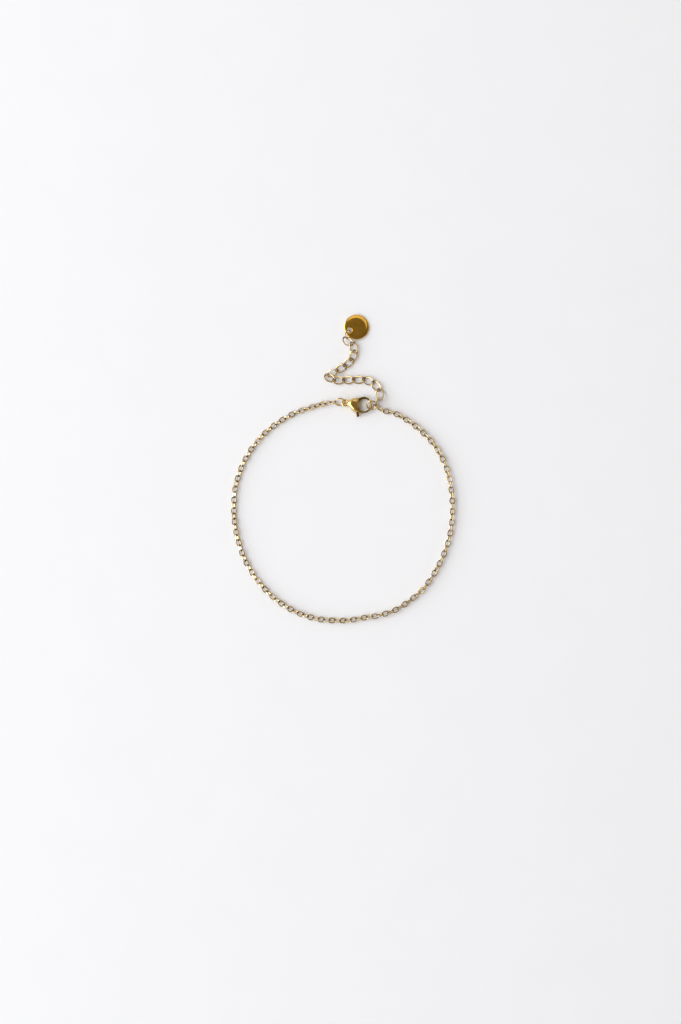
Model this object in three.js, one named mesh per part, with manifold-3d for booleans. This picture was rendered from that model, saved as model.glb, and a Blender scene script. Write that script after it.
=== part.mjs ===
// Chain anklet: a fine cable chain in one loop, closed by a lobster clasp, with an extender chain of
// open twisted links that ends in a small round tag.
// Millimetres, +Z up. It lies on the plane z = 0, and the origin is under the middle of its box.
import * as THREE from 'three';
import { mergeVertices } from 'three/addons/utils/BufferGeometryUtils.js';
import Module from 'manifold-3d';

// ---------------------------------------------------------------- driving dimensions
const loopCentre = { x: 0.1528, y: -13.5785 }; // middle of the ankle loop, seen from the origin

const chainWidth = 1.9; // outer width of a main chain link, so the chain's width and height
const chainLinkLength = 2.4;
const chainWire = 0.36;
const chainSteps = 56;

const jumpRingOuter = 3.65; // both round jump rings
const jumpRingWire = 0.45;

const joiningRing = { length: 3.1, width: 2.1, wire: 0.42 };
const extenderLink = { length: 4.2, width: 2.75, wire: 0.46, endTwist: 40 };

const tagDiameter = 8;
const tagThickness = 0.6;
const tagHole = { radius: 0.85, fromCentre: 2.45 };
const tagTilt = 6.6; // degrees, the side with the hole is up
const tagRing = { outer: 3.2, wire: 0.4 };

// The clasp's own frame: +X from the eye to the claw, +Y to the gate's side, z = 0 at its flat back.
const clasp = {
  turn: -6.9, // degrees, direction from the eye to the claw
  height: 2.2,
  midHeight: 1.15, // middle of the eye
};
const eye = { x: 0.35, y: 0.03, ringRadius: 0.92, tubeRadius: 0.3, holeRadius: 0.62 };
const lens = { x: 3.2, y: -0.25, reach: 3.5, halfHeight: 1.25 }; // the body's swelling
const slotHeight = { low: 0.62, high: 1.5 };
const hookHeight = { low: 0.6, high: 1.5 };
const leverHeight = { low: 0.72, high: 1.36 };
const pivot = { x: 4.3, y: 0.9, pinRadius: 0.3, holeRadius: 0.36 };
const pinHeight = { low: 0.05, high: 2.15 };
const edges = { hook: 0.14, lever: 0.12, tag: 0.1 }; // chamfers

// The main chain's route round the ankle, from the claw's side clockwise to the eye's side.
// Columns: angle in degrees from +X, distance from the loop's centre.
const chainRoute = [
  [69.3, 34.7], [60, 35.5], [45, 35.8], [30, 35.9], [15, 35.3],
  [0, 34.9], [-15, 34.8], [-30, 35.0], [-45, 35.5], [-60, 35.6],
  [-70, 35.2], [-80, 34.6], [-90, 34.9], [-105, 35.4], [-120, 35.6],
  [-135, 35.4], [-150, 35.2], [-165, 35.0], [-180, 35.2], [-195, 35.5],
  [-210, 35.6], [-225, 35.5], [-240, 35.2], [-252, 34.9], [-261.8, 35.1],
];

// Where the single links and rings lie, seen from the loop's centre.
// Columns: x, y, heading of the long axis, roll about it, pitch (far end up), height of the lowest point.
const endLinkRight = [10.65, 33.5, -25, 112, 0, 0.1];
const endLinkLeft = [-3.3, 34.87, 191, 66, 0, 0.35];
const eyeJumpRing = [-1.2, 35.05, 0, 48, 0, 0];
const clawJumpRing = [9.04, 34.05, 0, 38, 0, 0];
const joiningRingPlace = [10.7, 35.3, 60, 90, -28, 0.2];
const tagRingPlace = [1.48, 56.57, 80.4, 51.5, 0, 0.02];
const extenderRow = [
  [11.6, 37.45, 94, 0, -14, 0],
  [10.45, 40.2, 129, 0, 0, 0],
  [7.9, 41.8, 161, 0, 0, 0],
  [4.77, 42.15, 181, 0, 0, 0],
  [1.55, 42.05, 182, 0, 0, 0],
  [-1.6, 41.95, 179, 0, 0, 0],
  [-4.3, 42.7, 155, -16, -6, 0],
  [-3.4, 44.4, 28, 38, 0, 0],
  [-0.8, 45.85, 31, 0, 0, 0],
  [1.55, 47.55, 40, 0, 0, 0],
  [3.1, 49.8, 70, 0, 0, 0],
  [3.2, 52.45, 106, 0, 0, 0],
  [1.39, 54.37, 147.5, -5.5, 19, 0.17],
];
const tagPlace = { x: 4.1, y: 59.0, heading: 205 };
const claspPlace = { x: 0.13, y: 34.78 };

// ---------------------------------------------------------------- materials
function gold(colour, roughness) {
  return new THREE.MeshStandardMaterial({ color: colour, roughness, metalness: 1 });
}
const chainGold = gold(0xb98a4a, 0.25);
const claspGold = gold(0xc8963c, 0.15);
const tagGold = gold(0xa87a30, 0.05);

// ---------------------------------------------------------------- helpers
const anklet = new THREE.Group();
anklet.position.set(loopCentre.x, loopCentre.y, 0);
const degrees = THREE.MathUtils.degToRad;

function addMesh(name, geometry, material, parent = anklet) {
  const mesh = new THREE.Mesh(geometry, material);
  mesh.name = name;
  parent.add(mesh);
  return mesh;
}

// Turns a ring or link to its heading, roll and pitch, and sets it down on its lowest point.
function layDown(mesh, [x, y, heading, roll, pitch, lowest]) {
  mesh.rotation.set(degrees(roll), degrees(-pitch), degrees(heading), 'ZYX');
  mesh.position.set(x, y, 0);
  mesh.updateMatrixWorld(true);
  const box = new THREE.Box3().setFromObject(mesh, true);
  mesh.position.z = lowest - box.min.z;
}

// An oval wire path with slightly squared ends, twisted about its long axis so that neighbours can
// hook through each other.
const ovalPower = 2 / 2.3;

function roundedStep(value) {
  return Math.sign(value) * Math.abs(value) ** ovalPower;
}

class OvalPath extends THREE.Curve {
  constructor(halfLength, halfWidth, endTwist) {
    super();
    Object.assign(this, { halfLength, halfWidth, endTwist });
  }

  getPoint(t, target = new THREE.Vector3()) {
    const turn = 2 * Math.PI * t;
    const along = roundedStep(Math.cos(turn));
    const side = this.halfWidth * roundedStep(Math.sin(turn));
    const twist = this.endTwist * along;
    return target.set(this.halfLength * along, side * Math.cos(twist), side * Math.sin(twist));
  }
}

function ovalLink({ length, width, wire, endTwist = 0 }) {
  const path = new OvalPath((length - wire) / 2, (width - wire) / 2, degrees(endTwist));
  return new THREE.TubeGeometry(path, 24, wire / 2, 8, true);
}

function roundRing(outer, wire) {
  return new THREE.TorusGeometry((outer - wire) / 2, wire / 2, 8, 24);
}

// ---------------------------------------------------------------- main chain
const routePoints = chainRoute.map(([angle, radius]) => new THREE.Vector3(
  radius * Math.cos(degrees(angle)), radius * Math.sin(degrees(angle)), chainWidth / 2));
const routeCurve = new THREE.CatmullRomCurve3(routePoints, false, 'centripetal');

// The section is an octagon that lies on one of its flats.
const chainSection = new THREE.Shape();
for (let corner = 0; corner < 8; corner += 1) {
  const angle = (corner + 0.5) * Math.PI / 4;
  const reach = chainWidth / 2 / Math.cos(Math.PI / 8);
  const draw = corner === 0 ? 'moveTo' : 'lineTo';
  chainSection[draw](reach * Math.cos(angle), reach * Math.sin(angle));
}
addMesh('main_chain', new THREE.ExtrudeGeometry(chainSection, {
  steps: chainSteps, bevelEnabled: false, extrudePath: routeCurve,
}), chainGold);

const chainLink = { length: chainLinkLength, width: chainWidth, wire: chainWire };
layDown(addMesh('chain_end_link_right', ovalLink(chainLink), chainGold), endLinkRight);
layDown(addMesh('chain_end_link_left', ovalLink(chainLink), chainGold), endLinkLeft);

// ---------------------------------------------------------------- jump rings
layDown(addMesh('eye_jump_ring', roundRing(jumpRingOuter, jumpRingWire), claspGold), eyeJumpRing);
layDown(addMesh('claw_jump_ring', roundRing(jumpRingOuter, jumpRingWire), claspGold), clawJumpRing);

// ---------------------------------------------------------------- extender
layDown(addMesh('extender_joining_ring', ovalLink(joiningRing), chainGold), joiningRingPlace);
extenderRow.forEach((place, index) => {
  const name = `extender_link_${String(index + 1).padStart(2, '0')}`;
  layDown(addMesh(name, ovalLink(extenderLink), chainGold), place);
});

// ---------------------------------------------------------------- tag and its ring
const tagShape = new THREE.Shape();
tagShape.absarc(0, 0, tagDiameter / 2 - edges.tag, 0, 2 * Math.PI);
const holePath = new THREE.Path();
holePath.absarc(tagHole.fromCentre, 0, tagHole.radius + edges.tag, 0, 2 * Math.PI, true);
tagShape.holes.push(holePath);
const tagGeometry = new THREE.ExtrudeGeometry(tagShape, {
  depth: tagThickness - 2 * edges.tag, bevelThickness: edges.tag, bevelSize: edges.tag,
  bevelSegments: 1, curveSegments: 40,
});
const tagDisc = addMesh('tag_disc', tagGeometry, tagGold);
layDown(tagDisc, [tagPlace.x, tagPlace.y, tagPlace.heading, 0, tagTilt, 0]);
layDown(addMesh('tag_ring', roundRing(tagRing.outer, tagRing.wire), claspGold), tagRingPlace);

// ---------------------------------------------------------------- clasp
const wasm = await Module();
wasm.setup();

function solidOf(geometry) {
  const bare = geometry.clone();
  bare.deleteAttribute('normal');
  bare.deleteAttribute('uv');
  const merged = mergeVertices(bare, 1e-4);
  return new wasm.Manifold(new wasm.Mesh({
    numProp: 3,
    vertProperties: new Float32Array(merged.attributes.position.array),
    triVerts: new Uint32Array(merged.index.array),
  }));
}

function geometryOf(solid) {
  const { vertProperties, triVerts } = solid.getMesh();
  const geometry = new THREE.BufferGeometry();
  geometry.setAttribute('position', new THREE.BufferAttribute(vertProperties, 3));
  geometry.setIndex(new THREE.BufferAttribute(triVerts, 1));
  return geometry;
}

// A plate between two heights with rounded edges, from an outline in the clasp's own plane.
function plate(shape, low, high, edge) {
  const geometry = new THREE.ExtrudeGeometry(shape, {
    depth: high - low - 2 * edge, bevelEnabled: edge > 0, bevelThickness: edge, bevelSize: edge,
    bevelOffset: -edge, bevelSegments: 1, curveSegments: 6,
  });
  return solidOf(geometry.translate(0, 0, low + edge));
}

// The outline of a bar that follows a smooth line and narrows along it.
// Rows: x, y, width.
function barOutline(rows, samples) {
  const line = new THREE.CatmullRomCurve3(rows.map(([x, y, width]) => new THREE.Vector3(x, y, width)));
  const left = [];
  const right = [];
  for (let i = 0; i <= samples; i += 1) {
    const at = line.getPoint(i / samples);
    const along = line.getTangent(i / samples);
    const side = new THREE.Vector2(-along.y, along.x).normalize().multiplyScalar(at.z / 2);
    left.push(new THREE.Vector2(at.x + side.x, at.y + side.y));
    right.unshift(new THREE.Vector2(at.x - side.x, at.y - side.y));
  }
  return new THREE.Shape([...right, ...left]);
}

function uprightCylinder({ x, y }, radius, low, high) {
  const geometry = new THREE.CylinderGeometry(radius, radius, high - low, 16);
  return solidOf(geometry.rotateX(Math.PI / 2).translate(x, y, (low + high) / 2));
}

const claspGroup = new THREE.Group();
claspGroup.position.set(claspPlace.x, claspPlace.y, 0);
claspGroup.rotation.z = degrees(clasp.turn);
anklet.add(claspGroup);

// Outline of the domed body: neck, shoulder, top edge, the claw's hollow, root of the hook, lower edge.
const bodyShape = new THREE.Shape();
bodyShape.moveTo(0.9, -0.6);
bodyShape.lineTo(0.9, 0.65);
bodyShape.quadraticCurveTo(1.7, 0.8, 2.1, 1.45);
bodyShape.quadraticCurveTo(2.4, 1.95, 3.2, 2.0);
bodyShape.lineTo(4.3, 2.0);
bodyShape.quadraticCurveTo(4.95, 2.0, 4.95, 1.3);
bodyShape.quadraticCurveTo(4.75, 0.0, 5.15, -1.3);
bodyShape.quadraticCurveTo(5.75, -1.75, 5.7, -2.45);
bodyShape.lineTo(4.0, -2.7);
bodyShape.lineTo(3.1, -2.25);
bodyShape.lineTo(1.5, -0.75);

// The hook, from its root under the claw's hollow round to its tip. Columns: x, y, width.
const hookRows = [
  [5.2, -1.95, 0.85], [5.9, -2.2, 0.75], [6.7, -2.2, 0.7], [7.6, -1.9, 0.62], [8.35, -1.2, 0.56],
  [8.72, -0.3, 0.54], [8.68, 0.6, 0.5], [8.36, 1.74, 0.42],
];
// The slot right through the body in which the lever swings.
const slotCorners = [
  [2.1, -3.3], [3.15, -0.2], [3.4, 1.3], [3.8, 2.6], [6.2, 2.6], [6.2, -1.0], [5.2, -1.2], [5.2, -3.3],
];

const eyeSolid = solidOf(new THREE.TorusGeometry(eye.ringRadius, eye.tubeRadius, 8, 20)
  .translate(eye.x, eye.y, clasp.midHeight));
const eyeHole = uprightCylinder(eye, eye.holeRadius, 0, clasp.height);
// The body is a lens swelling to full height in its middle, cut to the outline and flat at the back.
const lensSolid = solidOf(new THREE.SphereGeometry(1, 40, 20).rotateX(Math.PI / 2)
  .scale(lens.reach, lens.reach, lens.halfHeight)
  .translate(lens.x, lens.y, clasp.height - lens.halfHeight));
const dome = plate(bodyShape, 0, 2 * clasp.height, 0).intersect(lensSolid);
const hook = plate(barOutline(hookRows, 16), hookHeight.low, hookHeight.high, edges.hook);
const slotShape = new THREE.Shape(slotCorners.map(([x, y]) => new THREE.Vector2(x, y)));
const slot = plate(slotShape, slotHeight.low, slotHeight.high, 0);
const pivotHole = uprightCylinder(pivot, pivot.holeRadius, -clasp.height, 2 * clasp.height);
const bodySolid = dome.subtract(slot).add(eyeSolid).subtract(eyeHole).add(hook).subtract(pivotHole);
addMesh('clasp_body', geometryOf(bodySolid), claspGold, claspGroup);
const pinSolid = uprightCylinder(pivot, pivot.pinRadius, pinHeight.low, pinHeight.high);
addMesh('lever_pin', geometryOf(pinSolid), claspGold, claspGroup);

// The lever: thumb tab, arm through the slot, and the gate that closes on the hook's tip.
// Columns: x, y, width.
const leverRows = [
  [4.95, -3.75, 0.9], [4.75, -3.0, 0.92], [4.55, -2.0, 0.88], [4.3, -0.8, 0.85], [4.15, 0.3, 1.0],
  [4.35, 1.2, 1.0], [5.1, 1.85, 0.9], [6.0, 2.26, 0.82], [6.9, 2.3, 0.74], [7.7, 1.98, 0.56],
];
const leverSolid = plate(barOutline(leverRows, 30), leverHeight.low, leverHeight.high, edges.lever)
  .subtract(pivotHole);
addMesh('clasp_lever', geometryOf(leverSolid), claspGold, claspGroup);

export default anklet;
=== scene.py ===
import math

import bpy
import numpy as np
from mathutils import Euler, Matrix, Vector
from mathutils.geometry import delaunay_2d_cdt


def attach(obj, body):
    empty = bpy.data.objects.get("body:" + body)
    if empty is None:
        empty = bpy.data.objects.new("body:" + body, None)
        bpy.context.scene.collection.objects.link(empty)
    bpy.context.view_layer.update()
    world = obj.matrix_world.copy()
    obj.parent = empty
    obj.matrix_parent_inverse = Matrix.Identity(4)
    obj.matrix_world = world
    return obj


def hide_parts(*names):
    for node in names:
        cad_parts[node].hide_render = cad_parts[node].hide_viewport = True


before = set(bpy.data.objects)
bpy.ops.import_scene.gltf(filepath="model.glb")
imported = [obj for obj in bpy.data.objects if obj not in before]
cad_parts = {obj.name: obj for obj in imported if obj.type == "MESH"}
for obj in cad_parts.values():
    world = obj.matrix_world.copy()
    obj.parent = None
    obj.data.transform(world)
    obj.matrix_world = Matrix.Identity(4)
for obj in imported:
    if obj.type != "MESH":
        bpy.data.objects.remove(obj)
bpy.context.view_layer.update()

# ------------------------------------------------------------------------------ main chain
# The fine cable chain that goes round the ankle: closed oval links of wire pressed a little flat,
# each turned from its neighbour. It is plated in champagne gold and lies loose, so its links have
# rolled a little. It ends in the single links that hold the clasp's two jump rings.
MILLIMETRE = 0.001
LOOP_CENTRE = Vector((0.1528, -13.5785, 0.0))  # millimetres, as are all the sizes below
CHAIN_LINK = {"Link length": 2.5, "Link width": 1.9, "Wire": 0.4, "Flatness": 0.78}
CHAIN_LINKS = 121
CHAIN_TURN = math.radians(62)  # from one link to the next, about the chain's line
CHAIN_LOOSENESS = math.radians(12)
WIRE_SLIT = 0.02  # radians between the two ends of a link's wire
# Where the chain runs, clockwise from the claw's side. The first and last rows are the end links.
# Columns: x, y, roll of the chain about its own line in degrees.
CHAIN_ENDS = ((10.65, 33.5, 22), (-3.3, 34.87, -24))
# Columns: angle in degrees from +X, distance from the loop's centre, roll.
CHAIN_ROUTE = (
    (69.3, 34.7, 6), (60, 35.5, 2), (45, 35.8, -4), (30, 35.9, 2), (15, 35.3, 8),
    (0, 34.85, 10), (-15, 34.8, 4), (-30, 35.0, 0), (-45, 35.5, 8), (-60, 35.6, 6),
    (-70, 35.2, 2), (-80, 34.6, -3), (-90, 34.9, -4), (-105, 35.4, 0), (-120, 35.6, -2),
    (-135, 35.4, 0), (-150, 35.2, 5), (-165, 35.0, 0), (-180, 35.15, -8), (-195, 35.5, -4),
    (-210, 35.6, 0), (-225, 35.5, -4), (-240, 35.2, 0), (-252, 34.9, -5), (-261.8, 35.1, -10),
)


class Flow:
    """A socket of a node tree. Arithmetic on it adds Math nodes, and node() adds any other."""

    def __init__(self, tree, socket=None):
        self.tree = tree
        self.socket = socket

    def node(self, kind, settings=(), values=(), output=0):
        made = self.tree.nodes.new(kind)
        for name, value in dict(settings).items():
            if name == "stops":
                ramp = made.color_ramp
                while len(ramp.elements) < len(value):
                    ramp.elements.new(1.0)
                for element, (position, colour) in zip(ramp.elements, value):
                    element.position = position
                    element.color = (*colour, 1.0)
            else:
                setattr(made, name, value)
        for key, value in dict(values).items():
            if isinstance(value, Flow):
                self.tree.links.new(value.socket, made.inputs[key])
            else:
                made.inputs[key].default_value = value
        return Flow(self.tree, made.outputs[output] if made.outputs else None)

    def math(self, operation, *values):
        return self.node("ShaderNodeMath", {"operation": operation}, enumerate(values))

    def __add__(self, other):
        return self.math("ADD", self, other)

    def __sub__(self, other):
        return self.math("SUBTRACT", self, other)

    def __mul__(self, other):
        return self.math("MULTIPLY", self, other)

    def __truediv__(self, other):
        return self.math("DIVIDE", self, other)

    def __rsub__(self, other):
        return self.math("SUBTRACT", other, self)

    def __pow__(self, other):
        return self.math("POWER", self, other)

    def __mod__(self, other):
        return self.math("MODULO", self, other)

    __radd__ = __add__
    __rmul__ = __mul__

    def blend(self, low, high):
        """A colour between low, where this value is 0, and high, where it is 1."""
        return self.node("ShaderNodeMix", {"data_type": "RGBA"}, {0: self, 6: low, 7: high}, 2)


SHADE_SHARES = (0.5, 0.45, 0.4)  # of the deep gold's red, green and blue where shade is painted


def polished_gold(name, pale, deep, roughness, haze, ripple, painted_shade=0.0):
    """Gold plating, a little deeper and duller in patches, with hairline scratches. Links each have
    a tone of their own. Where the attribute end is high, darker gold is painted as shade, as
    strongly as the last argument says: at the ends of links, as painted shade where they meet that
    also stands for wear where they rub, and on the clasp's mouth side and lever, as painted shade
    from the body."""
    material = bpy.data.materials.new(name)
    material.use_nodes = True
    material.node_tree.nodes.clear()
    flow = Flow(material.node_tree)
    place = flow.node("ShaderNodeTexCoord", output="Object")
    patches = flow.node("ShaderNodeTexNoise", values={"Vector": place, "Scale": 420.0, "Detail": 3.0})
    grain = flow.node("ShaderNodeTexNoise", values={"Vector": place, "Scale": 2600.0, "Detail": 2.0})
    stretched = flow.node("ShaderNodeMapping", values={
        "Vector": place, "Rotation": (0.0, 0.3, 0.7), "Scale": (900.0, 9000.0, 9000.0)})
    scratches = flow.node("ShaderNodeTexNoise", values={"Vector": stretched, "Scale": 1.0, "Detail": 1.0})
    scratch = flow.math("SMOOTH_MIN", 1.0, flow.math("MAXIMUM", (scratches - 0.62) * 6.0, 0.0), 0.1)
    depth = patches * 0.8 + grain * 0.2
    if painted_shade:
        tone = flow.node("ShaderNodeAttribute", {"attribute_name": "tone"}, output="Fac")
        depth = depth * 0.6 + tone * 0.4
    colour = flow.node("ShaderNodeClamp", values={"Value": (depth - 0.3) * 2.5}).blend(
        (*pale, 1.0), (*deep, 1.0))
    shine = roughness + haze * grain + haze * scratch
    # Painted shade: where the attribute end is high, the colour is drawn towards a darker deep gold.
    if painted_shade:
        end = flow.node("ShaderNodeAttribute", {"attribute_name": "end"}, output="Fac")
        shade_mask = flow.node("ShaderNodeClamp", values={
            "Value": (end - 0.6) * 3.5 * painted_shade * (0.7 + patches * 0.6)})
        dark = [channel * share for channel, share in zip(deep, SHADE_SHARES)]
        colour = shade_mask.blend(colour, (*dark, 1.0))
    bump = flow.node("ShaderNodeBump", values={
        "Strength": 0.5, "Distance": ripple, "Height": patches + scratch * 0.08})
    surface = flow.node("ShaderNodeBsdfPrincipled", values={
        "Base Color": colour, "Metallic": 1.0, "Roughness": shine, "Normal": bump})
    flow.node("ShaderNodeOutputMaterial", values={"Surface": surface})
    return material


def bent_wire_link(sizes, steps, sides, pressed=False):
    """One link of wire about the origin, long axis along X, its ends cut and pushed together. A
    pressed link's wire has flats, so it catches the light in planes."""
    index = sizes["Wire"].node("GeometryNodeInputIndex")
    turn = sizes["Seam"] + index * ((2 * math.pi - WIRE_SLIT) / steps) + WIRE_SLIT / 2

    def squared(wave):
        return wave.math("SIGN", wave) * wave.math("ABSOLUTE", wave) ** sizes["Roundness"]

    along = squared(turn.math("COSINE", turn))
    side = squared(turn.math("SINE", turn)) * ((sizes["Link width"] - sizes["Wire"]) / 2)
    twist = along * sizes["End twist"]
    point = index.node("ShaderNodeCombineXYZ", values={
        "X": along * ((sizes["Link length"] - sizes["Wire"]) / 2),
        "Y": side * twist.math("COSINE", twist), "Z": side * twist.math("SINE", twist)})
    line = index.node("GeometryNodeMeshLine", values={"Count": steps + 1})
    bent = index.node("GeometryNodeSetPosition", values={"Geometry": line, "Position": point})
    path = index.node("GeometryNodeMeshToCurve", values={"Mesh": bent})
    # How near each point lies to the link's ends; the finish paints shade there, where links meet and rub.
    path = index.node("GeometryNodeStoreNamedAttribute", {"data_type": "FLOAT"}, {
        "Geometry": path, "Name": "end", "Value": along.math("ABSOLUTE", along)})
    path = index.node("GeometryNodeSetCurveNormal", {"mode": "Z_UP"}, {"Curve": path})
    section = index.node("GeometryNodeCurvePrimitiveCircle", values={"Resolution": sides})
    around = (index + 0.5) * (2 * math.pi / sides)
    wide, thick = around.math("COSINE", around), around.math("SINE", around)
    if pressed:
        wide, thick = (wave.math("SIGN", wave) * wave.math("ABSOLUTE", wave) ** 0.5
                       for wave in (wide, thick))
    section = index.node("GeometryNodeSetPosition", values={
        "Geometry": section, "Position": index.node("ShaderNodeCombineXYZ", values={
            "X": wide * (sizes["Wire"] / 2), "Y": thick * (sizes["Wire"] * sizes["Flatness"] / 2)})})
    wire = index.node("GeometryNodeCurveToMesh", values={
        "Curve": path, "Profile Curve": section, "Fill Caps": True})
    wire = index.node("GeometryNodeSetShadeSmooth", values={"Geometry": wire})
    if pressed:
        bend = index.node("GeometryNodeInputMeshEdgeAngle")
        wire = index.node("GeometryNodeSetShadeSmooth", {"domain": "EDGE"}, {
            "Geometry": wire, "Selection": bend.math("GREATER_THAN", bend, 0.45), "Shade Smooth": False})
    return wire


def new_geometry_tree(name, size_names):
    """An empty geometry tree with an input for each size, and the flows that leave those inputs."""
    tree = bpy.data.node_groups.new(name, "GeometryNodeTree")
    tree.interface.new_socket("Geometry", in_out="OUTPUT", socket_type="NodeSocketGeometry")
    tree.interface.new_socket("Geometry", in_out="INPUT", socket_type="NodeSocketGeometry")
    for size in size_names:
        tree.interface.new_socket(size, in_out="INPUT", socket_type="NodeSocketFloat")
    tree.interface.new_socket("Seed", in_out="INPUT", socket_type="NodeSocketInt")
    tree.interface.new_socket("Finish", in_out="INPUT", socket_type="NodeSocketMaterial")
    entry = tree.nodes.new("NodeGroupInput")
    return tree, {socket.name: Flow(tree, socket) for socket in entry.outputs if socket.name}


def end_geometry_tree(tree, links, finish):
    """Realises the instances, gives them their finish and sends them out."""
    plain = links.node("GeometryNodeRealizeInstances", values={"Geometry": links})
    finished = links.node("GeometryNodeSetMaterial", values={"Geometry": plain, "Material": finish})
    leave = tree.nodes.new("NodeGroupOutput")
    tree.links.new(finished.socket, leave.inputs[0])


def grow(name, start, tree, values):
    """Runs a geometry tree over a start mesh in millimetres, and keeps the result as a plain mesh."""
    piece = bpy.data.objects.new(name, start)
    bpy.context.scene.collection.objects.link(piece)
    modifier = piece.modifiers.new("links", "NODES")
    modifier.node_group = tree
    for item in tree.interface.items_tree:
        if item.in_out == "INPUT" and item.name in values:
            modifier[item.identifier] = values[item.name]
    made = piece.evaluated_get(bpy.context.evaluated_depsgraph_get())
    mesh = bpy.data.meshes.new_from_object(made)
    piece.modifiers.clear()
    mesh.name = name
    mesh.transform(Matrix.Scale(MILLIMETRE, 4))
    piece.data = mesh
    return piece


LINK_SIZES = ("Link length", "Link width", "Wire", "Flatness", "End twist", "Roundness", "Seam")
chain_tree, sizes = new_geometry_tree("cable chain", LINK_SIZES + ("Links", "Turn between", "Looseness"))
route = sizes["Geometry"].node("GeometryNodeMeshToCurve", values={"Mesh": sizes["Geometry"]})
route = route.node("GeometryNodeCurveSplineType", {"spline_type": "CATMULL_ROM"}, {"Curve": route})
route = route.node("GeometryNodeSetSplineResolution", values={"Geometry": route, "Resolution": 16})
route = route.node("GeometryNodeResampleCurve", {"mode": "COUNT"}, {
    "Curve": route, "Count": sizes["Links"] + 2})
number = route.node("GeometryNodeInputIndex")
loose = sizes["Looseness"]
wander = route.node("FunctionNodeRandomValue", {"data_type": "FLOAT_VECTOR"}, {
    "Min": (-1.0, -1.0, -1.0), "Max": (1.0, 1.0, 1.0), "ID": number, "Seed": sizes["Seed"]})
wander = [wander.node("ShaderNodeSeparateXYZ", values={"Vector": wander}, output=axis)
          for axis in range(3)]
rolled = route.node("GeometryNodeInputNamedAttribute", {"data_type": "FLOAT"}, {"Name": "roll"})
roll = rolled + (number % 2) * sizes["Turn between"] + wander[0] * loose
upright = roll.math("ABSOLUTE", roll.math("SINE", roll))
flat = roll.math("ABSOLUTE", roll.math("COSINE", roll))
spare = upright.math("MAXIMUM", upright, flat) - upright
reach = (sizes["Link width"] - sizes["Wire"]) / 2
lift = reach * (upright + spare * 0.68) + sizes["Wire"] / 2 + 0.03
raised = route.node("GeometryNodeSetPosition", values={
    "Geometry": route, "Offset": route.node("ShaderNodeCombineXYZ", values={"Z": lift})})
heading = route.node("FunctionNodeAlignRotationToVector", {"axis": "X", "pivot_axis": "Z"}, {
    "Vector": route.node("GeometryNodeInputTangent")})
lean = route.node("FunctionNodeEulerToRotation", values={
    "Euler": route.node("ShaderNodeCombineXYZ", values={
        "X": roll, "Y": wander[1] * loose * 0.2, "Z": wander[2] * loose * 0.5})})
turned = route.node("FunctionNodeRotateRotation", {"rotation_space": "LOCAL"}, {
    "Rotation": heading, "Rotate By": lean})
between = route.math("GREATER_THAN", number, 0.5) * route.math("LESS_THAN", number, sizes["Links"] + 0.5)
links = route.node("GeometryNodeInstanceOnPoints", values={
    "Points": raised, "Selection": between, "Rotation": turned,
    "Instance": bent_wire_link(sizes, 20, 8, pressed=True)})
links = links.node("GeometryNodeStoreNamedAttribute", {"data_type": "FLOAT", "domain": "INSTANCE"}, {
    "Geometry": links, "Name": "tone",
    "Value": links.node("FunctionNodeRandomValue", {"data_type": "FLOAT"}, {"Seed": 7}, 1)})
end_geometry_tree(chain_tree, links, sizes["Finish"])

# Painted shade: the chain's links are painted much darker at their ends, where they meet, which also stands
# for wear.
chain_gold = polished_gold("champagne gold wire", (0.86, 0.70, 0.44), (0.62, 0.46, 0.21),
                           roughness=0.15, haze=0.11, ripple=0.000012, painted_shade=0.9)


def line_mesh(name, points, attribute, values):
    """Vertices in a row, joined by edges, each with a value of one attribute."""
    mesh = bpy.data.meshes.new(name)
    mesh.from_pydata(points, [(i, i + 1) for i in range(len(points) - 1)], [])
    kind = "FLOAT" if isinstance(values[0], float) else "FLOAT_VECTOR"
    layer = mesh.attributes.new(attribute, kind, "POINT")
    layer.data.foreach_set("value" if kind == "FLOAT" else "vector", np.ravel(values))
    return mesh


route_rows = [(distance * math.cos(math.radians(angle)), distance * math.sin(math.radians(angle)), roll)
              for angle, distance, roll in CHAIN_ROUTE]
route_rows = [CHAIN_ENDS[0], *route_rows, CHAIN_ENDS[1]]
route_line = line_mesh("chain route", [LOOP_CENTRE + Vector((x, y, 0.0)) for x, y, roll in route_rows],
                       "roll", [math.radians(roll) for x, y, roll in route_rows])
cable_chain = grow("cable_chain", route_line, chain_tree, {
    **CHAIN_LINK, "End twist": 0.0, "Roundness": 0.94, "Seam": 0.0, "Links": float(CHAIN_LINKS - 2),
    "Turn between": CHAIN_TURN, "Looseness": CHAIN_LOOSENESS, "Seed": 3, "Finish": chain_gold})
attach(cable_chain, "anklet")
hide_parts("main_chain")

# ------------------------------------------------------------- chain's end links, jump rings
# The last link at each end of the cable chain, and the two round jump rings of thicker wire that
# join them to the clasp. A jump ring is cut from a coil and its ends are pushed together.
# Columns of a place: x, y, heading of the long axis, roll about it, pitch (far end up), height of
# the lowest point; millimetres from the loop's centre, and degrees.
place_tree, sizes = new_geometry_tree("links at their places", LINK_SIZES)
links = sizes["Geometry"].node("GeometryNodeInputNamedAttribute", {"data_type": "FLOAT_VECTOR"}, {
    "Name": "turn"})
links = links.node("GeometryNodeInstanceOnPoints", values={
    "Points": sizes["Geometry"], "Instance": bent_wire_link(sizes, 40, 12),
    "Rotation": links.node("FunctionNodeEulerToRotation", values={"Euler": links})})
links = links.node("GeometryNodeStoreNamedAttribute", {"data_type": "FLOAT", "domain": "INSTANCE"}, {
    "Geometry": links, "Name": "tone",
    "Value": links.node("FunctionNodeRandomValue", {"data_type": "FLOAT"}, {"Seed": sizes["Seed"]}, 1)})
end_geometry_tree(place_tree, links, sizes["Finish"])


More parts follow.
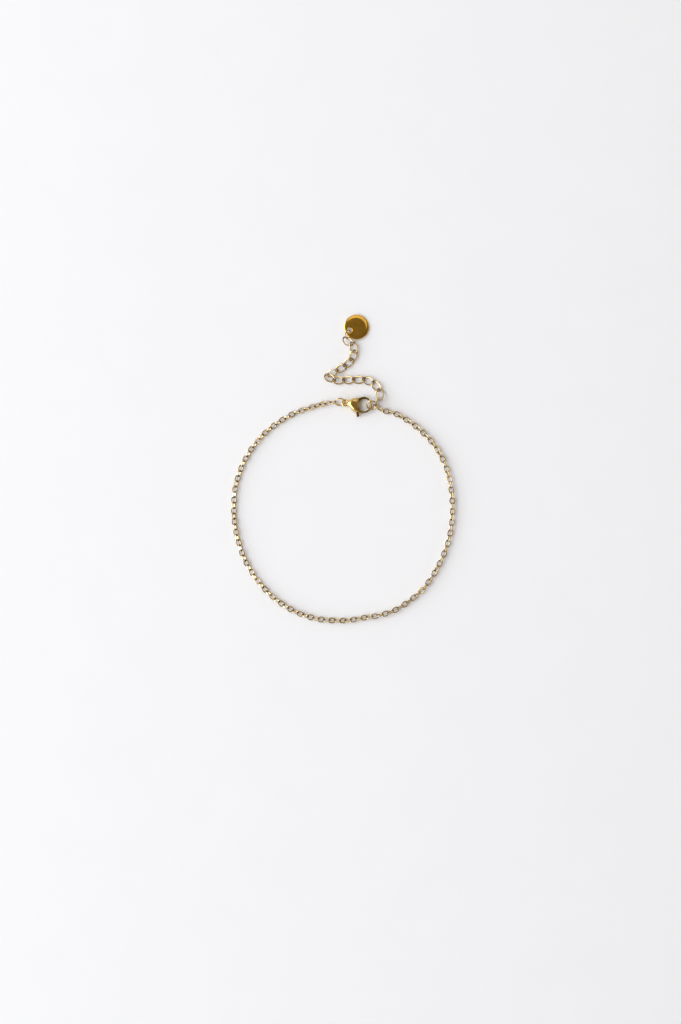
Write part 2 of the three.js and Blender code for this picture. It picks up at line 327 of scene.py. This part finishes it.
def link_line(shape):
    """Points along the middle of a link's wire, for finding how high the link lies."""
    turn = np.linspace(0, 2 * math.pi, 361)
    along, side = (np.sign(wave) * abs(wave) ** shape["Roundness"] for wave in (np.cos(turn), np.sin(turn)))
    twist = shape["End twist"] * along
    side *= (shape["Link width"] - shape["Wire"]) / 2
    return np.stack([along * (shape["Link length"] - shape["Wire"]) / 2,
                     side * np.cos(twist), side * np.sin(twist)], 1)


def lay_links(name, places, shape, finish, seed):
    """Links of one size, each at its own place and resting at its own height."""
    shape = {"Flatness": 1.0, "End twist": 0.0, "Roundness": 1.0, "Seam": math.pi / 2, **shape}
    points, turns = [], []
    for x, y, heading, roll, pitch, lowest in places:
        turn = Euler([math.radians(angle) for angle in (roll, -pitch, heading)])
        dip = (link_line(shape) @ np.array(turn.to_matrix()).T)[:, 2].min() - shape["Wire"] / 2
        points.append(LOOP_CENTRE + Vector((x, y, lowest - dip)))
        turns.append(turn[:])
    start = line_mesh(name + " places", points, "turn", turns)
    return grow(name, start, place_tree, {**shape, "Finish": finish, "Seed": seed})


# Painted shade: the jump rings are painted a little darker at their two ends along the long axis.
ring_gold = polished_gold("gold ring wire", (0.78, 0.58, 0.29), (0.54, 0.37, 0.13),
                          roughness=0.13, haze=0.10, ripple=0.000010, painted_shade=0.3)
JUMP_RING = {"Link length": 3.65, "Link width": 3.65, "Wire": 0.45}
for name, node, place, shape, finish, slot in (
    ("end_link_right", "chain_end_link_right", (10.65, 33.5, -25, 112, 0, 0.1),
     {**CHAIN_LINK, "Roundness": 0.94}, chain_gold, "chain"),
    ("end_link_left", "chain_end_link_left", (-3.3, 34.87, 191, 66, 0, 0.35),
     {**CHAIN_LINK, "Roundness": 0.94}, chain_gold, "chain"),
    ("jump_ring_at_eye", "eye_jump_ring", (-1.2, 35.05, 0, 48, 0, 0),
     {**JUMP_RING, "Seam": 2.6}, ring_gold, "rings"),
    ("jump_ring_at_claw", "claw_jump_ring", (9.04, 34.05, 0, 38, 0, 0),
     {**JUMP_RING, "Seam": 0.9}, ring_gold, "rings"),
):
    piece = lay_links(name, [place], shape, finish, 5)
    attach(piece, "anklet")
    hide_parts(node)

# ------------------------------------------------------------------------------ extender
# The adjusting chain: a small upright joining ring, then thirteen open links of thicker wire, bent
# to a soft oval and twisted so that each lies flat through its neighbour.
EXTENDER_LINK = {"Link length": 4.2, "Link width": 2.75, "Wire": 0.46,
                 "End twist": math.radians(40), "Roundness": 2 / 2.3}
EXTENDER_PLACES = (
    (11.6, 37.45, 94, 0, -14, 0), (10.45, 40.2, 129, 0, 0, 0), (7.9, 41.8, 161, 0, 0, 0),
    (4.77, 42.15, 181, 0, 0, 0), (1.55, 42.05, 182, 0, 0, 0), (-1.6, 41.95, 179, 0, 0, 0),
    (-4.3, 42.7, 155, -16, -6, 0), (-3.4, 44.4, 28, 38, 0, 0), (-0.8, 45.85, 31, 0, 0, 0),
    (1.55, 47.55, 40, 0, 0, 0), (3.1, 49.8, 70, 0, 0, 0), (3.2, 52.45, 106, 0, 0, 0),
    (1.39, 54.37, 147.5, -5.5, 19, 0.17),
)
extender_chain = lay_links("extender_chain", EXTENDER_PLACES, EXTENDER_LINK, chain_gold, 11)
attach(extender_chain, "anklet")
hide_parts(*(f"extender_link_{i + 1:02d}" for i in range(len(EXTENDER_PLACES))))
joining_ring = lay_links("joining_ring", [(10.7, 35.3, 60, 90, -28, 0.2)], {
    "Link length": 3.1, "Link width": 2.1, "Wire": 0.42, "Roundness": 2 / 2.3}, chain_gold, 12)
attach(joining_ring, "anklet")
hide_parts("extender_joining_ring")

# ------------------------------------------------------------------------------ tag and its ring
# The round tag at the chain's end, stamped from plate with a hole near its edge and polished like
# a mirror, with nothing engraved on it. It lies a little raised on the ring that holds it.
TAG = {"radius": 4.0, "thickness": 0.6, "hole": 0.85, "hole_from_centre": 2.45,
       "x": 4.1, "y": 59.0, "tilt": -6.6, "heading": 205}


def inside(points, loop):
    """Which points lie inside a closed outline."""
    x, y = points[:, 0, None], points[:, 1, None]
    start, end = loop, np.roll(loop, -1, 0)
    crosses = (start[:, 1] > y) != (end[:, 1] > y)
    rise = np.where(end[:, 1] == start[:, 1], 1e-9, end[:, 1] - start[:, 1])
    at = start[:, 0] + (y - start[:, 1]) / rise * (end[:, 0] - start[:, 0])
    return (crosses & (x < at)).sum(1) % 2 == 1


def edge_distance(points, loops):
    """How far each point is from the nearest edge of the outlines."""
    nearest = np.full(len(points), 1e9)
    for loop in loops:
        start, along = loop, np.roll(loop, -1, 0) - loop
        offset = points[:, None] - start
        share = np.clip((offset * along).sum(2) / (along ** 2).sum(1), 0, 1)[..., None]
        nearest = np.minimum(nearest, np.sqrt(((offset - share * along) ** 2).sum(2)).min(1))
    return nearest


def swelling(points, faces, fixed):
    """The height of a skin that is blown up evenly over a flat mesh and held at its edge, 0 to 1."""
    count = len(points)
    pull, load = np.zeros((count, count)), np.zeros(count)
    for face in faces:
        for a, b, c in (face, (*face[1:], face[0]), (face[2], *face[:2])):
            to_a, to_b = points[a] - points[c], points[b] - points[c]
            twice_area = abs(to_a[0] * to_b[1] - to_a[1] * to_b[0])
            weight = to_a @ to_b / max(twice_area, 1e-9) / 2
            pull[a, a] += weight
            pull[b, b] += weight
            pull[a, b] -= weight
            pull[b, a] -= weight
            load[c] += twice_area / 6
    height = np.zeros(count)
    height[~fixed] = np.linalg.solve(pull[np.ix_(~fixed, ~fixed)], load[~fixed])
    return height / height.max()


def rounded_plate(name, loops, heights, top_round, back_round, spacing, hole_round=0.1, domed=False):
    """A plate cut to outlines, the first outside and the others holes. heights are the back's, the
    edge's and the face's. Face and back roll over to the edge within the widths given, or the whole
    face is domed."""
    low, side, high = heights
    widths = [max(top_round, back_round)] + [hole_round] * (len(loops) - 1)
    inner = []
    for loop, width in zip(loops, widths):
        along = np.roll(loop, -1, 0) - np.roll(loop, 1, 0)
        across = np.stack([-along[:, 1], along[:, 0]], 1) / np.linalg.norm(along, axis=1)[:, None]
        for share in (0.03, 0.1, 0.2, 0.32, 0.46, 0.62, 0.8, 1.0, 1.25):
            for direction in (share, -share):
                ring = loop + across * width * direction
                far = edge_distance(ring, [loop]) > share * width * 0.97
                for other, other_width in zip(loops, widths):
                    if other is not loop:
                        far &= edge_distance(ring, [other]) > other_width * min(1.3, share + 0.1)
                        far &= ~inside(ring, other) | (other is loops[0])
                inner.append(ring[far & inside(ring, loops[0])])
    lowest, highest = loops[0].min(0), loops[0].max(0)
    grid = np.stack(np.meshgrid(np.arange(lowest[0], highest[0], spacing),
                                np.arange(lowest[1], highest[1], spacing)), -1).reshape(-1, 2)
    keep = inside(grid, loops[0])
    for loop, width in zip(loops, widths):
        keep &= edge_distance(grid, [loop]) > width * 1.25 + spacing / 2
        keep &= ~inside(grid, loop) | (loop is loops[0])
    points = np.concatenate([*loops, *inner, grid[keep]])
    edges, start = [], 0
    for loop in loops:
        count = len(loop)
        edges += [(start + i, start + (i + 1) % count) for i in range(count)]
        start += count
    result = delaunay_2d_cdt([Vector(p) for p in points], edges, [], 0, 1e-6)
    points = np.array([p[:] for p in result[0]])
    faces = []
    for face in result[2]:
        middle = points[list(face)].mean(0)[None]
        if inside(middle, loops[0])[0] and not any(inside(middle, hole)[0] for hole in loops[1:]):
            a, b, c = points[list(face)]
            turn = (b[0] - a[0]) * (c[1] - a[1]) - (b[1] - a[1]) * (c[0] - a[0])
            faces.append(tuple(face) if turn > 0 else tuple(reversed(face)))

    def rolled(width):
        depth = edge_distance(points, loops[:1]) / width
        share = np.sqrt(1 - (1 - np.clip(depth, 0, 1)) ** 2)
        for hole in loops[1:]:
            depth = edge_distance(points, [hole]) / hole_round
            share = share * np.sqrt(1 - (1 - np.clip(depth, 0, 1)) ** 2)
        return share

    on_edge = edge_distance(points, loops) < 1e-5
    share = rolled(top_round)
    if domed:
        share = np.sqrt(1 - (1 - swelling(points, faces, on_edge)) ** 2)
    top = side + (high - side) * share
    back = side - (side - low) * rolled(back_round)
    below = {}
    vertices = [(x, y, z) for (x, y), z in zip(points, top)]
    for i, (x, y) in enumerate(points):
        below[i] = i if on_edge[i] else len(vertices)
        if not on_edge[i]:
            vertices.append((x, y, back[i]))
    faces += [tuple(below[i] for i in reversed(face)) for face in faces]
    mesh = bpy.data.meshes.new(name)
    mesh.from_pydata(vertices, [], faces)
    mesh.shade_smooth()
    piece = bpy.data.objects.new(name, mesh)
    bpy.context.scene.collection.objects.link(piece)
    return piece


def circle(radius, count, x=0.0, y=0.0):
    angle = np.linspace(0, 2 * math.pi, count, endpoint=False)
    return np.stack([x + radius * np.cos(angle), y + radius * np.sin(angle)], 1)


def settle(piece, place, material, body, slot, *nodes):
    """Puts a piece made in millimetres where it belongs, in metres, gives it its material, hangs it on its
    body and hides the parts it stands for.
    """
    piece.data.transform(Matrix.Scale(MILLIMETRE, 4) @ place)
    piece.data.materials.clear()
    piece.data.materials.append(material)
    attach(piece, body)
    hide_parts(*nodes)


tag_gold = polished_gold("mirror gold plate", (0.90, 0.57, 0.12), (0.66, 0.41, 0.06),
                         roughness=0.07, haze=0.08, ripple=0.000018)
tag = rounded_plate("round_tag", [circle(TAG["radius"], 144),
                                  circle(TAG["hole"], 64, x=TAG["hole_from_centre"])],
                    (0.0, 0.3, TAG["thickness"]), top_round=1.2, back_round=0.15, spacing=0.2,
                    hole_round=0.2)
tag_turn = Euler((0.0, math.radians(TAG["tilt"]), math.radians(TAG["heading"]))).to_matrix().to_4x4()
tag_dip = min((tag_turn @ vertex.co).z for vertex in tag.data.vertices)
settle(tag, Matrix.Translation(LOOP_CENTRE + Vector((TAG["x"], TAG["y"], -tag_dip))) @ tag_turn,
       tag_gold, "anklet", "tag", "tag_disc")

tag_ring = lay_links("ring_of_tag", [(1.48, 56.57, 80.4, 51.5, 0, 0.02)], {
    "Link length": 3.2, "Link width": 3.2, "Wire": 0.4, "Seam": 4.0}, ring_gold, 14)
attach(tag_ring, "anklet")
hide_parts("tag_ring")

# ------------------------------------------------------------------------------ clasp
# The lobster clasp, cast in one piece: a domed body with a flat back, an eye at one end and a
# curved hook at the other. A slot runs through the body for the lever, which turns on a rivet.
CLASP_PLACE = (Matrix.Translation(LOOP_CENTRE + Vector((0.13, 34.78, 0.0)))
               @ Matrix.Rotation(math.radians(-6.9), 4, "Z"))
EYE = {"x": 0.35, "y": 0.03, "radius": 0.92, "wire": 0.6, "height": 1.15}
PIVOT = {"x": 4.3, "y": 0.9, "pin": 0.31, "hole": 0.33}


def smooth_line(rows, count):
    """A smooth line through rows of numbers, closed if the last row is the first."""
    rows = np.array(rows, float)
    closed = np.allclose(rows[0], rows[-1])
    padded = np.concatenate([rows[-2:-1] if closed else 2 * rows[:1] - rows[1:2], rows,
                             rows[1:2] if closed else 2 * rows[-1:] - rows[-2:-1]])
    line = []
    for share in np.linspace(0, len(rows) - 1, count, endpoint=not closed):
        i = min(int(share), len(rows) - 2)
        t = share - i
        a, b, c, d = padded[i:i + 4]
        line.append(0.5 * (2 * b + (c - a) * t + (2 * a - 5 * b + 4 * c - d) * t ** 2
                           + (3 * b - a - 3 * c + d) * t ** 3))
    return np.array(line)


def bar_outline(rows, count):
    """The outline of a bar along rows of x, y and width, with round ends."""
    line = smooth_line(rows, count)
    along = np.gradient(line[:, :2], axis=0)
    along /= np.linalg.norm(along, axis=1)[:, None]
    across = np.stack([-along[:, 1], along[:, 0]], 1)
    half = line[:, 2:] / 2

    def round_end(i, sign):
        angles = np.linspace(-math.pi / 2, math.pi / 2, 9)[1:-1, None]
        return line[i, :2] + half[i] * sign * (np.cos(angles) * along[i] + np.sin(angles) * across[i])

    return np.concatenate([line[:, :2] - across * half, round_end(-1, 1),
                           (line[:, :2] + across * half)[::-1], round_end(0, -1)])


def hug(piece, voxel, rounds):
    """Fuses a piece's overlapping parts into one skin, with soft fillets."""
    remesh = piece.modifiers.new("fuse", "REMESH")
    remesh.mode = "VOXEL"
    remesh.voxel_size = voxel
    remesh.use_smooth_shade = True
    soften = piece.modifiers.new("soften", "SMOOTH")
    soften.factor = 0.5
    soften.iterations = rounds
    keep_modifiers(piece)


def keep_modifiers(piece):
    """Makes a piece's modifiers part of its mesh."""
    made = piece.evaluated_get(bpy.context.evaluated_depsgraph_get())
    mesh = bpy.data.meshes.new_from_object(made)
    piece.modifiers.clear()
    piece.data = mesh


def join(name, pieces):
    """One object of several pieces' meshes."""
    vertices, faces = [], []
    for piece in pieces:
        start = len(vertices)
        vertices += [vertex.co[:] for vertex in piece.data.vertices]
        faces += [tuple(start + i for i in face.vertices) for face in piece.data.polygons]
        bpy.data.objects.remove(piece)
    mesh = bpy.data.meshes.new(name)
    mesh.from_pydata(vertices, [], faces)
    piece = bpy.data.objects.new(name, mesh)
    bpy.context.scene.collection.objects.link(piece)
    return piece


def cut(piece, cutter):
    """Cuts one piece out of another."""
    boolean = piece.modifiers.new("cut", "BOOLEAN")
    boolean.operation = "DIFFERENCE"
    boolean.solver = "EXACT"
    boolean.object = cutter
    keep_modifiers(piece)
    bpy.data.objects.remove(cutter)


def prism(name, outline, low, high):
    """A straight block cut to an outline."""
    count = len(outline)
    vertices = [(x, y, z) for z in (low, high) for x, y in outline]
    faces = [tuple(reversed(range(count))), tuple(range(count, 2 * count))]
    faces += [(i, (i + 1) % count, count + (i + 1) % count, count + i) for i in range(count)]
    mesh = bpy.data.meshes.new(name)
    mesh.from_pydata(vertices, [], faces)
    piece = bpy.data.objects.new(name, mesh)
    bpy.context.scene.collection.objects.link(piece)
    return piece


BODY_OUTLINE = (
    (0.95, -0.6), (0.95, 0.0), (0.95, 0.62), (1.55, 0.88), (2.0, 1.4), (2.5, 1.85), (3.3, 2.0), (4.2, 2.0),
    (4.8, 1.75), (4.93, 1.2), (4.85, 0.2), (5.0, -0.8), (5.3, -1.45), (5.68, -1.95), (5.65, -2.42),
    (4.9, -2.62), (4.0, -2.66), (3.1, -2.22), (2.2, -1.42), (1.5, -0.8), (0.95, -0.6),
)
HOOK_ROWS = (
    (5.2, -1.95, 0.85), (5.9, -2.2, 0.75), (6.7, -2.2, 0.7), (7.6, -1.9, 0.62), (8.35, -1.2, 0.56),
    (8.72, -0.3, 0.54), (8.68, 0.6, 0.5), (8.36, 1.74, 0.42),
)
body = rounded_plate("domed body", [smooth_line(BODY_OUTLINE, 150)], (0.0, 0.75, 2.2),
                     top_round=0.8, back_round=0.25, spacing=0.16, domed=True)
hook = rounded_plate("hook", [bar_outline(HOOK_ROWS, 40)], (0.6, 1.0, 1.5),
                     top_round=0.22, back_round=0.22, spacing=0.12)
bpy.ops.mesh.primitive_torus_add(major_segments=48, minor_segments=16, major_radius=EYE["radius"],
                                 minor_radius=EYE["wire"] / 2, location=(EYE["x"], EYE["y"], EYE["height"]))
eye = bpy.context.object
eye.data.transform(eye.matrix_world)
eye.matrix_world = Matrix()
clasp = join("lobster_clasp", [body, hook, eye])
hug(clasp, 0.06, 4)
SLOT_OUTLINE = (
    (2.1, -3.3), (3.15, -0.2), (3.4, 1.3), (3.8, 2.6), (6.2, 2.6), (6.2, -1.0), (5.2, -1.2), (5.2, -3.3),
)
SLOT_HEIGHTS = (0.62, 1.5)
cut(clasp, prism("lever slot", SLOT_OUTLINE[::-1], *SLOT_HEIGHTS))
cut(clasp, prism("rivet hole", circle(PIVOT["hole"], 24, PIVOT["x"], PIVOT["y"]), -1.0, 3.0))
clasp.data.shade_smooth()


def paint_shade_by_x(piece, share):
    """Marks where shade is painted on a casting: share is a function of x along the clasp."""
    x = np.array([vertex.co.x for vertex in piece.data.vertices])
    end = piece.data.attributes.new("end", "FLOAT", "POINT")
    end.data.foreach_set("value", 0.6 + 0.4 * share(x))


# Painted shade: the clasp is painted darker from x = 4.35 on, over the body's mouth side and the hook,
# which lie in shade.
paint_shade_by_x(clasp, lambda x: np.clip((x - 4.35) / 0.6, 0, 0.85))
clasp_gold = polished_gold("cast gold", (0.84, 0.60, 0.24), (0.54, 0.36, 0.07),
                           roughness=0.10, haze=0.08, ripple=0.000012, painted_shade=0.7)
settle(clasp, CLASP_PLACE, clasp_gold, "anklet", "clasp", "clasp_body")

rivet = rounded_plate("rivet", [circle(PIVOT["pin"], 32, PIVOT["x"], PIVOT["y"])], (0.05, 1.1, 2.0),
                      top_round=0.1, back_round=0.12, spacing=0.1)
settle(rivet, CLASP_PLACE, clasp_gold, "anklet", "clasp", "lever_pin")

# ------------------------------------------------------------------------------ clasp's lever
# The lever: a thumb tab, an arm through the body's slot, and the gate that closes on the hook's
# tip. A small spring in the body holds it shut.
LEVER_ROWS = (
    (4.95, -3.6, 0.9), (4.75, -3.0, 0.92), (4.55, -2.0, 0.88), (4.3, -0.8, 0.85), (4.15, 0.3, 1.0),
    (4.35, 1.2, 1.0), (5.1, 1.85, 0.9), (6.0, 2.26, 0.82), (6.9, 2.3, 0.74), (7.7, 1.98, 0.56),
)
lever = rounded_plate("gate_lever", [bar_outline(LEVER_ROWS, 60),
                                     circle(PIVOT["hole"] + 0.03, 24, PIVOT["x"], PIVOT["y"])],
                      (0.72, 1.04, 1.36), top_round=0.2, back_round=0.16, spacing=0.12, hole_round=0.06)
# Painted shade: the whole lever is painted darker, as it lies low in the body's shade.
paint_shade_by_x(lever, np.ones_like)
settle(lever, CLASP_PLACE, clasp_gold, "lever", "clasp", "clasp_lever")

# ------------------------------------------------------------------------------ floor, light, camera
# A plain pale floor, a large soft light from the left in a room that is darker to the right,
# and a camera straight above.
bpy.ops.mesh.primitive_plane_add(size=30.0)
floor = bpy.context.object
floor.name = "floor"
floor_paint = bpy.data.materials.new("pale floor")
floor_paint.use_nodes = True
flow = Flow(floor_paint.node_tree)
floor_paint.node_tree.nodes.clear()
speckle = flow.node("ShaderNodeTexNoise", values={
    "Vector": flow.node("ShaderNodeTexCoord", output="Object"), "Scale": 60.0, "Detail": 2.0})
paint = flow.node("ShaderNodeBsdfPrincipled", values={
    "Base Color": speckle.blend((0.86, 0.88, 0.905, 1.0), (0.88, 0.90, 0.925, 1.0)), "Roughness": 0.8})
paint.socket.node.inputs["Specular IOR Level"].default_value = 0.2
flow.node("ShaderNodeOutputMaterial", values={"Surface": paint})
floor.data.materials.append(floor_paint)

bpy.context.scene.view_settings.view_transform = "Standard"
world = bpy.data.worlds.new("studio")
bpy.context.scene.world = world
world.use_nodes = True
world.node_tree.nodes.clear()
sky = Flow(world.node_tree)
direction = sky.node("ShaderNodeTexCoord", output="Generated")
right, up = (sky.node("ShaderNodeSeparateXYZ", values={"Vector": direction}, output=axis)
             for axis in ("X", "Z"))
room = up.node("ShaderNodeValToRGB", {"stops": (
    (0.0, (0.90, 0.91, 0.95)), (0.25, (0.76, 0.76, 0.81)), (0.55, (0.43, 0.42, 0.46)),
    (0.85, (0.23, 0.18, 0.11)))}, {"Fac": up})
sky.node("ShaderNodeOutputWorld", values={"Surface": sky.node("ShaderNodeBackground", values={
    "Color": room, "Strength": 1 - sky.node("ShaderNodeClamp", values={"Value": right}) * 0.55})})


def soft_light(name, place, aim, width, height, power, colour):
    light = bpy.data.lights.new(name, "AREA")
    light.shape = "RECTANGLE"
    light.size, light.size_y, light.energy, light.color = width, height, power, colour
    lamp = bpy.data.objects.new(name, light)
    lamp.location = place
    lamp.rotation_euler = (Vector(aim) - Vector(place)).to_track_quat("-Z", "Y").to_euler()
    bpy.context.scene.collection.objects.link(lamp)


soft_light("key", (-1.42, -0.12, 1.0), (0, 0, 0), 2.6, 2.0, 52, (0.975, 0.985, 1.0))
soft_light("card", (0.38, 0.94, 1.48), (0, 0, 0), 1.5, 1.0, 3.9, (1.0, 0.90, 0.84))

camera_data = bpy.data.cameras.new("camera")
camera_data.lens = 100
camera_data.sensor_width = 36
camera_data.clip_start, camera_data.clip_end = 0.01, 50
camera = bpy.data.objects.new("camera", camera_data)
camera.location = (LOOP_CENTRE + Vector((-0.96, -0.16, 911.0))) * MILLIMETRE
bpy.context.scene.collection.objects.link(camera)
bpy.context.scene.camera = camera
